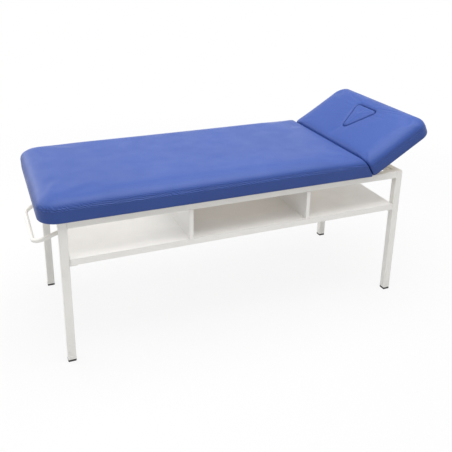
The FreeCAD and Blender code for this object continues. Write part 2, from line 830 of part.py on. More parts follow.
hanger = box(
    "loop_hanger", "hanger_width", "leaf_thickness", "hanger_length",
    "frame_left + (tube - hanger_width) / 2", f"{LOOP_Y} + loop_width + rod_radius",
    "rail_bottom - hanger_length",
)
keep(hanger, "loop_hanger")

doc.recompute()

# Nothing is written unless every object is sound.
for piece in doc.Objects:
    if "Invalid" in piece.State or "Error" in piece.State:
        raise RuntimeError(f"{piece.Name} failed: {piece.State}")
for piece in nodes:
    if piece.Shape.isNull() or not piece.Shape.isValid():
        raise RuntimeError(f"{piece.Label} has no sound shape")

os.makedirs("parts", exist_ok=True)
whole = FreeCAD.BoundBox()
for piece in nodes:
    piece.Shape.exportStep(f"parts/{piece.Label}.step")
    whole.add(piece.Shape.BoundBox)
print(len(nodes), "sub-parts in", whole)
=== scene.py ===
import math

import bmesh
import bpy
import numpy as np
from mathutils import Matrix, Vector


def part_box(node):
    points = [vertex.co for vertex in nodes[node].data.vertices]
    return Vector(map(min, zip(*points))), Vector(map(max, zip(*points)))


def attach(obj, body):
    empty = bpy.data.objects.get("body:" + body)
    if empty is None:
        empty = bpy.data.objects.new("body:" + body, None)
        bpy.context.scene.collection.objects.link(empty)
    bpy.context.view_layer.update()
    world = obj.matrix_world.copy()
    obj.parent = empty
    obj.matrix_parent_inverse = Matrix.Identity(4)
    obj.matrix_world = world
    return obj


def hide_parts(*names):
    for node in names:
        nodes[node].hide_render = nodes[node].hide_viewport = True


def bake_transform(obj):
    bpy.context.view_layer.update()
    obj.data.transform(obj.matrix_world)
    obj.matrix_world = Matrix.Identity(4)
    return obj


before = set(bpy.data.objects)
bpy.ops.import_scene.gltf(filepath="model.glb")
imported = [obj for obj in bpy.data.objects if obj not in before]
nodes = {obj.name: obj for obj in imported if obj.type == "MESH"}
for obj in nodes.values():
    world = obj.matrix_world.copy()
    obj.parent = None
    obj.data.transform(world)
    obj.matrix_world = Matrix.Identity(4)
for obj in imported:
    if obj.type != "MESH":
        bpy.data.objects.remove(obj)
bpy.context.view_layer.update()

# Legs, rails, cross bars, brackets and the rod loop: square steel tube cut to length, angles, and round
# rod bent to shape, welded, ground where the welds show, and coated with white powder that cures with
# a faint orange peel.
PAINT_WHITE = (0.80, 0.79, 0.755)
PAINT_SHADE = (0.75, 0.735, 0.70)
PAINT_SCUFF = (0.66, 0.65, 0.62)
PEEL_PER_METRE = 420
PEEL_DEPTH = 0.00025
SCUFF_HEIGHT = 0.16
GLOSS_FINENESS = 4
PAINTED = [
    "leg_foot_front", "leg_foot_rear", "leg_head_front", "leg_head_rear",
    "rail_front", "rail_rear", "rail_foot", "rail_head",
    "crossbar_middle", "crossbar_hinge", "crossbar_strut", "roll_loop", "loop_hanger",
    "shelf_angles", "strut_base_bracket",
]


def add(tree, kind, sockets=(), **settings):
    """A node with its settings. Inputs are given by name or number, as a value or another node's output."""
    made = tree.nodes.new(kind)
    for name, value in settings.items():
        setattr(made, name, value)
    for name, value in dict(sockets).items():
        socket = made.inputs[name]
        if isinstance(value, bpy.types.NodeSocket):
            tree.links.new(value, socket)
        else:
            socket.default_value = value
    return made


def new_finish(name, colour, roughness, metallic=0.0):
    """A material with its shader, ready for the nodes that vary its colour, gloss and relief."""
    finish = bpy.data.materials.new(name)
    finish.use_nodes = True
    finish.diffuse_color = (*colour, 1)
    shader = finish.node_tree.nodes["Principled BSDF"]
    shader.inputs["Base Color"].default_value = (*colour, 1)
    shader.inputs["Roughness"].default_value = roughness
    shader.inputs["Metallic"].default_value = metallic
    return finish, finish.node_tree, shader


def new_shader_group(name, inputs, outputs):
    """An empty shader node group with named number inputs and outputs."""
    group = bpy.data.node_groups.new(name, "ShaderNodeTree")
    for label, start in inputs.items():
        socket = group.interface.new_socket(label, in_out="INPUT", socket_type="NodeSocketFloat")
        socket.default_value = start
    for label in outputs:
        group.interface.new_socket(label, in_out="OUTPUT", socket_type="NodeSocketFloat")
    return group, group.nodes.new("NodeGroupInput"), group.nodes.new("NodeGroupOutput")


# Slow drift of tone or gloss over a surface, between two values.
mottle, given, result = new_shader_group(
    "mottle", {"Patches per metre": 6.0, "Least": 0.0, "Most": 1.0}, ["Value"]
)
place = add(mottle, "ShaderNodeTexCoord")
cloud = add(
    mottle,
    "ShaderNodeTexNoise",
    {"Vector": place.outputs["Object"], "Scale": given.outputs["Patches per metre"], "Detail": 4.0},
)
spread = add(
    mottle,
    "ShaderNodeMapRange",
    {
        "Value": cloud.outputs[0],
        "From Min": 0.3,
        "From Max": 0.7,
        "To Min": given.outputs["Least"],
        "To Max": given.outputs["Most"],
    },
)
mottle.links.new(spread.outputs[0], result.inputs["Value"])

# Fine relief of a sprayed or moulded surface.
peel, given, result = new_shader_group("fine_relief", {"Dimples per metre": 400.0}, ["Height"])
place = add(peel, "ShaderNodeTexCoord")
dimples = add(
    peel,
    "ShaderNodeTexNoise",
    {"Vector": place.outputs["Object"], "Scale": given.outputs["Dimples per metre"], "Detail": 2.0},
)
peel.links.new(dimples.outputs[0], result.inputs["Height"])

# Rubs and kicks that fade out above a given height over the floor.
scuffs, given, result = new_shader_group("low_scuffs", {"Height": 0.15, "Marks per metre": 60.0}, ["Mask"])
place = add(scuffs, "ShaderNodeTexCoord")
height = add(scuffs, "ShaderNodeSeparateXYZ", {0: place.outputs["Object"]})
fade = add(
    scuffs,
    "ShaderNodeMapRange",
    {"Value": height.outputs["Z"], "From Min": given.outputs["Height"], "From Max": 0.0},
)
marks = add(
    scuffs,
    "ShaderNodeTexNoise",
    {"Vector": place.outputs["Object"], "Scale": given.outputs["Marks per metre"], "Detail": 5.0},
)
few = add(scuffs, "ShaderNodeMapRange", {"Value": marks.outputs[0], "From Min": 0.58, "From Max": 0.72})
mask = add(scuffs, "ShaderNodeMath", {0: fade.outputs[0], 1: few.outputs[0]}, operation="MULTIPLY")
scuffs.links.new(mask.outputs[0], result.inputs["Mask"])


def mix_colours(tree, share, first, second):
    """The colour between two, each a colour or an output. The node's colour sockets go by number."""
    ends = [end if isinstance(end, bpy.types.NodeSocket) else (*end, 1) for end in (first, second)]
    return add(tree, "ShaderNodeMix", {0: share, 6: ends[0], 7: ends[1]}, data_type="RGBA").outputs[2]


def vary(tree, shader, first, second, patches, least_rough, most_rough):
    """Drifts the colour between two tones and the roughness between two values. Gives the colour output."""
    tone = add(tree, "ShaderNodeGroup", {"Patches per metre": patches}, node_tree=mottle)
    gloss = add(
        tree,
        "ShaderNodeGroup",
        {"Patches per metre": patches * GLOSS_FINENESS, "Least": least_rough, "Most": most_rough},
        node_tree=mottle,
    )
    colour = mix_colours(tree, tone.outputs["Value"], first, second)
    tree.links.new(colour, shader.inputs["Base Color"])
    tree.links.new(gloss.outputs["Value"], shader.inputs["Roughness"])
    return colour


def emboss(tree, shader, height, depth, strength=1.0):
    """Raises the surface by a height output of 0 to 1, over any relief that it has already."""
    relief = add(tree, "ShaderNodeBump", {"Height": height, "Distance": depth, "Strength": strength})
    if shader.inputs["Normal"].is_linked:
        tree.links.new(shader.inputs["Normal"].links[0].from_socket, relief.inputs["Normal"])
    tree.links.new(relief.outputs["Normal"], shader.inputs["Normal"])


def dimple(tree, shader, per_metre, depth, strength):
    """Gives the surface the fine relief that spraying, moulding or plating leaves."""
    skin = add(tree, "ShaderNodeGroup", {"Dimples per metre": per_metre}, node_tree=peel)
    emboss(tree, shader, skin.outputs["Height"], depth, strength)


def dress(finish, names):
    """Gives CAD pieces a finish in all their material slots."""
    for name in names:
        for slot in nodes[name].material_slots:
            slot.material = finish


paint, tree, shader = new_finish("white_powder_coat", PAINT_WHITE, roughness=0.42)
coat = vary(tree, shader, PAINT_WHITE, PAINT_SHADE, patches=5.0, least_rough=0.36, most_rough=0.48)
rubbed = add(tree, "ShaderNodeGroup", {"Height": SCUFF_HEIGHT}, node_tree=scuffs)
worn = mix_colours(tree, rubbed.outputs["Mask"], coat, PAINT_SCUFF)
tree.links.new(worn, shader.inputs["Base Color"])
dimple(tree, shader, PEEL_PER_METRE, PEEL_DEPTH, strength=0.5)
dress(paint, PAINTED)

# Weld beads where rails and cross bars meet the tubes that carry them: rows of small overlapping
# puddles on the under and inner sides, painted over. The outer sides are ground flush.
BEAD_PITCH = 0.0024
BEAD_SIZE = 0.0025
PUDDLE_LEAST = 0.8
PUDDLE_MOST = 1.1
PUDDLE_SEED = 7
LENGTHWISE_TUBES = ("rail_front", "rail_rear")
CROSSWISE_TUBES = ("rail_foot", "rail_head", "crossbar_middle", "crossbar_hinge", "crossbar_strut")


def new_path_tree(name, sizes):
    """A geometry node tree that sets pieces along paths, with named sizes and a finish as its inputs."""
    tree = bpy.data.node_groups.new(name, "GeometryNodeTree")
    tree.interface.new_socket("Paths", in_out="INPUT", socket_type="NodeSocketGeometry")
    for size in sizes:
        tree.interface.new_socket(size, in_out="INPUT", socket_type="NodeSocketFloat")
    tree.interface.new_socket("Finish", in_out="INPUT", socket_type="NodeSocketMaterial")
    tree.interface.new_socket("Pieces", in_out="OUTPUT", socket_type="NodeSocketGeometry")
    return tree, tree.nodes.new("NodeGroupInput"), tree.nodes.new("NodeGroupOutput")


def close_path_tree(tree, given, result, pieces, smooth=True):
    """Makes the set pieces real, smooth where they are round, and finished."""
    shape = add(tree, "GeometryNodeRealizeInstances", {"Geometry": pieces}).outputs[0]
    if smooth:
        shape = add(tree, "GeometryNodeSetShadeSmooth", {"Geometry": shape}).outputs[0]
    finished = add(
        tree,
        "GeometryNodeSetMaterial",
        {"Geometry": shape, "Material": given.outputs["Finish"]},
    )
    tree.links.new(finished.outputs[0], result.inputs["Pieces"])


def along_paths(name, tree, paths, finish, **sizes):
    """Runs a tree on paths and keeps the result as a mesh.

    A path is a list of points and whether it closes.
    """
    points = []
    edges = []
    for path, closed in paths:
        first = len(points)
        points += [tuple(point) for point in path]
        edges += [(first + i, first + i + 1) for i in range(len(path) - 1)]
        if closed:
            edges.append((len(points) - 1, first))
    mesh = bpy.data.meshes.new(name)
    mesh.from_pydata(points, edges, [])
    piece = bpy.data.objects.new(name, mesh)
    bpy.context.collection.objects.link(piece)
    modifier = piece.modifiers.new(name, "NODES")
    modifier.node_group = tree
    for socket in tree.interface.items_tree:
        if socket.in_out == "INPUT" and socket.name == "Finish":
            modifier[socket.identifier] = finish
        elif socket.in_out == "INPUT" and socket.name in sizes:
            modifier[socket.identifier] = sizes[socket.name]
    view = bpy.context.evaluated_depsgraph_get()
    made = bpy.data.meshes.new_from_object(piece.evaluated_get(view))
    piece.modifiers.remove(modifier)
    piece.data = made
    return piece


weld_tree, given, result = new_path_tree("weld_bead", ["Pitch", "Size"])
line = add(weld_tree, "GeometryNodeMeshToCurve", {"Mesh": given.outputs["Paths"]})
steps = add(
    weld_tree,
    "GeometryNodeCurveToPoints",
    {"Curve": line.outputs[0], "Length": given.outputs["Pitch"]},
    mode="LENGTH",
)
puddle = add(
    weld_tree,
    "GeometryNodeMeshIcoSphere",
    {"Radius": given.outputs["Size"], "Subdivisions": 2},
)
unlike = add(
    weld_tree,
    "FunctionNodeRandomValue",
    {"Min": (PUDDLE_LEAST,) * 3, "Max": (PUDDLE_MOST,) * 3, "Seed": PUDDLE_SEED},
    data_type="FLOAT_VECTOR",
)
beads = add(
    weld_tree,
    "GeometryNodeInstanceOnPoints",
    {"Points": steps.outputs[0], "Instance": puddle.outputs[0], "Scale": unlike.outputs[0]},
)
close_path_tree(weld_tree, given, result, beads.outputs[0])


def tube_end_bead(node, axis, end):
    """Path under and up the inner side of a tube's end, where it butts on another, ending below its top."""
    low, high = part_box(node)
    bead_top = high.z - 2 * BEAD_SIZE
    across = 1 - axis
    inner = low[across] if abs(low[across]) < abs(high[across]) else high[across]
    outer = high[across] if inner == low[across] else low[across]
    corners = []
    for side, level in ((outer, low.z), (inner, low.z), (inner, bead_top)):
        point = Vector((0, 0, level))
        point[axis] = end
        point[across] = side
        corners.append(point)
    return corners


bead_paths = []
for axis, names in enumerate((LENGTHWISE_TUBES, CROSSWISE_TUBES)):
    for name in names:
        bead_paths += [(tube_end_bead(name, axis, end[axis]), False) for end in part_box(name)]
welds = along_paths("weld_beads", weld_tree, bead_paths, paint, Pitch=BEAD_PITCH, Size=BEAD_SIZE)
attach(welds, "frame")

# Foot caps: black moulded plastic plugs with a square flange, pushed into the open ends of the legs.
# They are matt from the mould and a little dusty.
CAP_BLACK = (0.010, 0.010, 0.011)
CAP_DUST = (0.024, 0.023, 0.022)
CAP_GRAIN_PER_METRE = 1400
CAP_GRAIN_DEPTH = 0.0002
plastic, tree, shader = new_finish("black_moulded_plastic", CAP_BLACK, roughness=0.55)
vary(tree, shader, CAP_BLACK, CAP_DUST, patches=40.0, least_rough=0.48, most_rough=0.66)
dimple(tree, shader, CAP_GRAIN_PER_METRE, CAP_GRAIN_DEPTH, strength=0.5)
dress(plastic, [name for name in nodes if name.startswith("foot_cap_")])

# Shelf board and dividers: chipboard faced with warm white melamine that has a faint pearl texture.
# They stand on steel angles under the shelf's ends and are screwed to each other from below.
BOARD_WHITE = (0.80, 0.79, 0.775)
BOARD_SHADE = (0.75, 0.74, 0.725)
PEARL_PER_METRE = 900
PEARL_DEPTH = 0.0002
DIVIDERS = ("divider_foot", "divider_head")
BOARDS = ("shelf_board", *DIVIDERS)
laminate, tree, shader = new_finish("white_laminate", BOARD_WHITE, roughness=0.4)
vary(tree, shader, BOARD_WHITE, BOARD_SHADE, patches=7.0, least_rough=0.34, most_rough=0.46)
dimple(tree, shader, PEARL_PER_METRE, PEARL_DEPTH, strength=0.3)
dress(laminate, BOARDS)

# Edge bands of the boards: thin white plastic strip, ironed on to the long edges to cover the raw
# chipboard, and trimmed to a small round.
BAND_PROUD = 0.0005
BAND_SUNK = 0.001
BAND_ROUND = 0.0004
EDGING_WHITE = (0.81, 0.795, 0.765)
EDGING_SHADE = (0.77, 0.755, 0.725)
edging, tree, shader = new_finish("white_edge_band", EDGING_WHITE, roughness=0.35)
vary(tree, shader, EDGING_WHITE, EDGING_SHADE, patches=12.0, least_rough=0.3, most_rough=0.4)
strips = bmesh.new()
for name in BOARDS:
    low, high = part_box(name)
    for face, outwards in ((low.y, -1), (high.y, 1)):
        inner = face - outwards * BAND_SUNK
        outer = face + outwards * BAND_PROUD
        size = Vector((high.x - low.x, abs(outer - inner), high.z - low.z))
        middle = Vector(((low.x + high.x) / 2, (inner + outer) / 2, (low.z + high.z) / 2))
        strip = bmesh.ops.create_cube(strips, size=1)
        bmesh.ops.scale(strips, vec=size, verts=strip["verts"])
        bmesh.ops.translate(strips, vec=middle, verts=strip["verts"])
        rims = {edge for corner in strip["verts"] for edge in corner.link_edges}
        bmesh.ops.bevel(strips, geom=list(rims), offset=BAND_ROUND, segments=2, affect="EDGES")
mesh = bpy.data.meshes.new("shelf_edging")
strips.to_mesh(mesh)
strips.free()
mesh.materials.append(edging)
shelf_edging = bpy.data.objects.new("shelf_edging", mesh)
bpy.context.collection.objects.link(shelf_edging)
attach(shelf_edging, "frame")

# Steel fittings: hinges, screws and the ratchet strut, pressed from sheet or drawn from bar, then zinc
# plated. Handling leaves them unevenly bright.
ZINC_BRIGHT = (0.62, 0.63, 0.64)
ZINC_DULL = (0.46, 0.465, 0.47)
ZINC_GRAIN_PER_METRE = 800
ZINC_GRAIN_DEPTH = 0.0001
zinc, tree, shader = new_finish("zinc_plated_steel", ZINC_BRIGHT, roughness=0.35, metallic=1.0)
vary(tree, shader, ZINC_BRIGHT, ZINC_DULL, patches=60.0, least_rough=0.26, most_rough=0.44)
dimple(tree, shader, ZINC_GRAIN_PER_METRE, ZINC_GRAIN_DEPTH, strength=0.3)
fittings = [name for name in nodes if name.startswith(("hinge_", "strut_")) and name not in PAINTED]
dress(zinc, fittings)

# Shelf screws: zinc-plated steel with countersunk heads and a cross recess, driven up through the
# shelf into the dividers.
SCREW_RADIUS = 0.0045
SCREW_RISE = 0.0012
SCREW_DROP_SHARE = 0.25
SCREW_SIDES = 20
SCREW_MARGIN = 0.06
RECESS_REACH_SHARE = 1.1
RECESS_WIDTH_SHARE = 0.26
RECESS_DROP_SHARE = -0.5
SCREWS_PER_DIVIDER = 4
screw_tree, given, result = new_path_tree("screw_heads", ["Radius", "Rise"])
spots = add(screw_tree, "GeometryNodeMeshToPoints", {"Mesh": given.outputs["Paths"]})
head = add(
    screw_tree,
    "GeometryNodeMeshCylinder",
    {"Vertices": SCREW_SIDES, "Radius": given.outputs["Radius"], "Depth": given.outputs["Rise"]},
)


def part_of(tree, size, share):
    """A share of one of a tree's sizes."""
    return add(tree, "ShaderNodeMath", {0: size, 1: share}, operation="MULTIPLY").outputs[0]


arm_long = part_of(screw_tree, given.outputs["Radius"], RECESS_REACH_SHARE)
arm_wide = part_of(screw_tree, given.outputs["Radius"], RECESS_WIDTH_SHARE)
lower = part_of(screw_tree, given.outputs["Rise"], RECESS_DROP_SHARE)
drop = add(screw_tree, "ShaderNodeCombineXYZ", {"Z": lower})
cutters = []
for across, along in ((arm_long, arm_wide), (arm_wide, arm_long)):
    size = add(
        screw_tree,
        "ShaderNodeCombineXYZ",
        {"X": across, "Y": along, "Z": given.outputs["Rise"]},
    )
    cutter = add(screw_tree, "GeometryNodeMeshCube", {"Size": size.outputs[0]})
    moved = add(
        screw_tree,
        "GeometryNodeTransform",
        {"Geometry": cutter.outputs[0], "Translation": drop.outputs[0]},
    )
    cutters.append(moved.outputs[0])
cross = add(screw_tree, "GeometryNodeMeshBoolean", operation="DIFFERENCE")
screw_tree.links.new(head.outputs[0], cross.inputs["Mesh 1"])
for cutter in cutters:
    screw_tree.links.new(cutter, cross.inputs["Mesh 2"])
screws = add(
    screw_tree,
    "GeometryNodeInstanceOnPoints",
    {"Points": spots.outputs[0], "Instance": cross.outputs[0]},
)
close_path_tree(screw_tree, given, result, screws.outputs[0], smooth=False)
screw_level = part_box("shelf_board")[0].z - SCREW_RISE * SCREW_DROP_SHARE
screw_rows = []
for name in DIVIDERS:
    low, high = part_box(name)
    middle = (low.x + high.x) / 2
    places = np.linspace(low.y + SCREW_MARGIN, high.y - SCREW_MARGIN, SCREWS_PER_DIVIDER)
    screw_rows.append(([(middle, y, screw_level) for y in places], False))
shelf_screws = along_paths(
    "shelf_screws", screw_tree, screw_rows, zinc, Radius=SCREW_RADIUS, Rise=SCREW_RISE
)
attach(shelf_screws, "frame")

# Bases of the cushions and of the plug: birch plywood, sawn to shape, with its plies showing at the
# edges. The head section's board is tilted, so its plies lie on the tilt.
PLY_LIGHT = (0.70, 0.60, 0.47)
PLY_DARK = (0.56, 0.46, 0.34)
PLY_THICKNESS = 0.0016
FIBRES_PER_METRE = (4, 70, 70)
FIBRE_DEPTH = 0.0003
HEAD_RAISE = math.radians(31)


def plywood(name, tilt):
    """Plywood whose sheets lie level or on the head section's tilt."""
    finish, tree, shader = new_finish(name, PLY_LIGHT, roughness=0.6)
    place = add(tree, "ShaderNodeTexCoord")
    turned = add(
        tree,
        "ShaderNodeMapping",
        {"Vector": place.outputs["Object"], "Rotation": (0, tilt, 0)},
        vector_type="POINT",
    )
    stretched = add(
        tree,
        "ShaderNodeMapping",
        {"Vector": turned.outputs[0], "Scale": FIBRES_PER_METRE},
    )
    fibre = add(tree, "ShaderNodeTexNoise", {"Vector": stretched.outputs[0], "Scale": 1.0, "Detail": 6.0})
    level = add(tree, "ShaderNodeSeparateXYZ", {0: turned.outputs[0]})
    ply = add(tree, "ShaderNodeMath", {0: level.outputs["Z"], 1: 1 / PLY_THICKNESS}, operation="MULTIPLY")
    sheet = add(tree, "ShaderNodeMath", {0: ply.outputs[0], 1: 1.0}, operation="PINGPONG")
    mixed = add(tree, "ShaderNodeMath", {0: sheet.outputs[0], 1: fibre.outputs[0]}, operation="MULTIPLY")
    streak = add(tree, "ShaderNodeMapRange", {"Value": mixed.outputs[0], "From Min": 0.1, "From Max": 0.6})
    wood = mix_colours(tree, streak.outputs[0], PLY_LIGHT, PLY_DARK)
    tree.links.new(wood, shader.inputs["Base Color"])
    emboss(tree, shader, fibre.outputs[0], FIBRE_DEPTH, strength=0.4)
    return finish


dress(plywood("birch_plywood_level", 0.0), ["main_board"])
dress(plywood("birch_plywood_tilted", HEAD_RAISE), ["head_board", "plug_base"])

# Main cushion: foam on its board under a blue vinyl cover, sewn as a top panel and a side band and
# pulled tight round the board. Its joint end leans back to let the raised head section meet it.
VINYL_BLUE = (0.034, 0.072, 0.262)
VINYL_DEEP = (0.031, 0.065, 0.238)
VINYL_SHINE = 0.20
PEBBLES_PER_METRE = 620
PEBBLE_WARP = 0.002
WARPS_PER_METRE = 300
PEBBLE_DEPTH = 0.0002
RIPPLE_PITCH = 0.022
RIPPLE_SLANT = 2.2
RIPPLE_DRIFT = 0.12
DRIFTS_PER_METRE = 14
RIPPLE_FULL = 0.002
RIPPLE_REACH = 0.034
RIPPLE_DEPTH = 0.0013
main_low, main_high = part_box("main_cushion")
PAD_WIDTH = main_high.y - main_low.y
PAD_HEIGHT = main_high.z - main_low.z
MAIN_CORNER = 0.078
MAIN_BAND = 0.060
CROWN_REACH = 0.090
CROWN_FULLNESS = 2.5
CROWN_SHOULDER = 2.1
CROWN_START = 0.0012
CROWN_STEPS = 12
CROWN_CROWDING = 2.4
SWELL = 0.004
JOINT_ROUND = 0.026
JOINT_CORNER = 0.012
JOINT_FLATNESS = 8
BOARD_INSET = 0.0177
BOARD_ROOM = 0.0183
SEAM_DEPTH = 0.0018
STITCH_OFFSET = 0.006
# Rows of the hem round the board: distance in from the side, height, and distance in from the joint.
HEM_ROWS = [
    (BOARD_INSET, BOARD_ROOM, BOARD_INSET),
    (BOARD_INSET, 0.0, BOARD_INSET),
    (0.0115, 0.0, 0.004),
    (0.0080, 0.0016, 0.0012),
    (0.0062, 0.0050, 0.0),
]
BAND_SHARES = (0.20, 0.34, 0.48, 0.62, 0.75)
BAND_LEAN = 0.0015
# Rows beside the seam: distance in from the band's face, height over the seam, and what the row is.
SEAM_ROWS = [
    (0.0, -0.007, "free"),
    (-0.0006, -0.0026, "free"),
    (SEAM_DEPTH, 0.0, "seam"),
    (0.0004, 0.0026, "free"),
    (0.0006, STITCH_OFFSET, "stitch"),
]
PAD_OVER_HINGE = 0.0075
hinge_low, hinge_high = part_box("hinge_front_pin")
HINGE = Vector(((hinge_low.x + hinge_high.x) / 2, 0, (hinge_low.z + hinge_high.z) / 2))

vinyl, tree, shader = new_finish("blue_vinyl", VINYL_BLUE, roughness=0.42)
vary(tree, shader, VINYL_BLUE, VINYL_DEEP, patches=3.0, least_rough=0.36, most_rough=0.46)
shader.inputs["Specular IOR Level"].default_value = VINYL_SHINE
place = add(tree, "ShaderNodeTexCoord")
warp = add(tree, "ShaderNodeTexNoise", {"Vector": place.outputs["Object"], "Scale": WARPS_PER_METRE})
bent = add(
    tree,
    "ShaderNodeMix",
    {0: PEBBLE_WARP, 4: place.outputs["Object"], 5: warp.outputs[1]},
    data_type="VECTOR",
)
pebbles = add(
    tree,
    "ShaderNodeTexVoronoi",
    {"Vector": bent.outputs[1], "Scale": PEBBLES_PER_METRE},
    feature="DISTANCE_TO_EDGE",
)
creases = add(tree, "ShaderNodeMapRange", {"Value": pebbles.outputs[0], "From Min": 0.0, "From Max": 0.16})
emboss(tree, shader, creases.outputs[0], PEBBLE_DEPTH, strength=0.35)
# The seam gathers the cover a little: short ripples along the seam that fade away from it.
lay = add(tree, "ShaderNodeUVMap", uv_map="lay")
parts = add(tree, "ShaderNodeSeparateXYZ", {0: lay.outputs[0]})
drift = add(tree, "ShaderNodeTexNoise", {"Vector": place.outputs["Object"], "Scale": DRIFTS_PER_METRE})
slant = add(
    tree,
    "ShaderNodeMath",
    {0: parts.outputs["Y"], 1: RIPPLE_SLANT, 2: parts.outputs["X"]},
    operation="MULTIPLY_ADD",
)
phase = add(
    tree,
    "ShaderNodeMath",
    {0: drift.outputs[0], 1: RIPPLE_DRIFT, 2: slant.outputs[0]},
    operation="MULTIPLY_ADD",
)
turns = add(tree, "ShaderNodeMath", {0: phase.outputs[0], 1: math.tau / RIPPLE_PITCH}, operation="MULTIPLY")
wave = add(tree, "ShaderNodeMath", {0: turns.outputs[0]}, operation="SINE")
away = add(tree, "ShaderNodeMath", {0: parts.outputs["Y"]}, operation="ABSOLUTE")
near = add(
    tree,
    "ShaderNodeMapRange",
    {"Value": away.outputs[0], "From Min": RIPPLE_REACH, "From Max": RIPPLE_FULL},
)
soft = add(tree, "ShaderNodeMath", {0: near.outputs[0], 1: 2.0}, operation="POWER")
ripple = add(tree, "ShaderNodeMath", {0: wave.outputs[0], 1: soft.outputs[0]}, operation="MULTIPLY")
emboss(tree, shader, ripple.outputs[0], RIPPLE_DEPTH, strength=0.8)


class Section:
    """Plan of an upholstered section: its joint lies near x = 0 and its free end at x = length."""

    def __init__(self, length, corner, band, joint_line, side_steps):
        self.length = length
        self.corner = corner
        self.band = band
        self.joint_line = joint_line
        self.counts = {"joint": 48, "small": 3, "side": side_steps, "large": 10, "end": 40}

    def crown(self, draw):
        """Height of the padded top over its board, at a distance in from the edge."""
        share = min(max(draw / CROWN_REACH, 0.0), 1.0)
        rise = (1 - (1 - share) ** CROWN_FULLNESS) ** (1 / CROWN_SHOULDER)
        return self.band + (PAD_HEIGHT - SWELL - self.band) * rise

    def inset(self, x, y):
        """How far a point of the plan lies in from the three free edges."""
        from_end = self.length - x
        from_side = PAD_WIDTH / 2 - abs(y)
        a = from_end - self.corner
        b = from_side - self.corner
        plain = min(from_end, from_side)
        reach = 2 * self.corner**2 - (a - b) ** 2
        if reach <= 0:
            return plain
        round_inset = (a + b + 2 * self.corner - math.sqrt(reach)) / 2
        inside_corner = a < self.corner and b < self.corner and abs(a - b) < self.corner
        return min(plain, round_inset) if inside_corner else plain

    def ring(self, draw, height, top_draw, joint_draw):
        """One outline of the form. Along the joint it climbs with the crown that ends there."""
        half = PAD_WIDTH / 2 - draw
        end = self.length - draw
        points = []

        def shares(stretch):
            return np.arange(self.counts[stretch]) / self.counts[stretch]

        def joint_x(level, top):
            over = max(0.0, level - (top - JOINT_ROUND))
            eased = JOINT_ROUND - math.sqrt(max(0.0, JOINT_ROUND**2 - min(over, JOINT_ROUND) ** 2))
            return self.joint_line(level) + eased + joint_draw

        def run_straight(stretch, first, last):
            for share in shares(stretch):
                x, y = (a + (b - a) * share for a, b in zip(first, last))
                points.append((x, y, height))

        def turn_corner(stretch, x, y, radius, first_turn):
            for share in shares(stretch):
                turn = first_turn + share * math.pi / 2
                points.append((x + radius * math.cos(turn), y + radius * math.sin(turn), height))

        corner_top = self.crown(top_draw)
        reach = PAD_WIDTH / 2 - top_draw - JOINT_CORNER
        for share in shares("joint"):
            side = 1 - 2 * share
            top = max(self.crown(PAD_WIDTH / 2 - abs(side) * reach), corner_top)
            climb = (top - corner_top) * (1 - abs(side) ** JOINT_FLATNESS)
            level = height * (corner_top + climb) / corner_top
            points.append((joint_x(level, top), side * (half - JOINT_CORNER), level))
        start = joint_x(height, corner_top) + JOINT_CORNER
        stop = end - self.corner
        near = half - JOINT_CORNER
        far = half - self.corner
        turn_corner("small", start, -near, JOINT_CORNER, math.pi)
        run_straight("side", (start, -half), (stop, -half))
        turn_corner("large", stop, -far, self.corner, 1.5 * math.pi)
        run_straight("end", (end, -far), (end, far))
        turn_corner("large", stop, far, self.corner, 0.0)
        run_straight("side", (stop, half), (start, half))
        turn_corner("small", start, near, JOINT_CORNER, 0.5 * math.pi)
        return points

    def cover(self, top_draw):
        """Outlines from the board's edge up the band, over the seam and on to the crown, with notes."""
        rings = []
        notes = []

        def lay_ring(draw, height, note, joint_draw=0.0):
            rings.append(self.ring(draw, height, top_draw, joint_draw))
            notes.append(note)

        for draw, height, joint_draw in HEM_ROWS:
            lay_ring(draw, height, "held", joint_draw)
        for share in BAND_SHARES:
            lay_ring(SWELL + BAND_LEAN * (1 - share), self.band * share, "free")
        for draw, height, note in SEAM_ROWS:
            lay_ring(SWELL + draw, self.band + height, note)
        for step in range(1, CROWN_STEPS + 1):
            share = step / CROWN_STEPS
            draw = CROWN_START + (top_draw - CROWN_START) * share**CROWN_CROWDING
            lay_ring(draw + SWELL * (1 - share), self.crown(draw), "free")
        return rings, notes


def zip_shut(count, middle):
    """Faces across an outline that is alike on both sides of its middle line, as step numbers."""
    half = count // 2
    faces = [(middle, middle + 1, middle - 1)]
    for step in range(1, half - 1):
        faces.append((middle + step, middle + step + 1, middle - step - 1, middle - step))
    faces.append((middle + half - 1, middle + half, middle - half + 1))
    return [tuple(step % count for step in face) for face in faces]


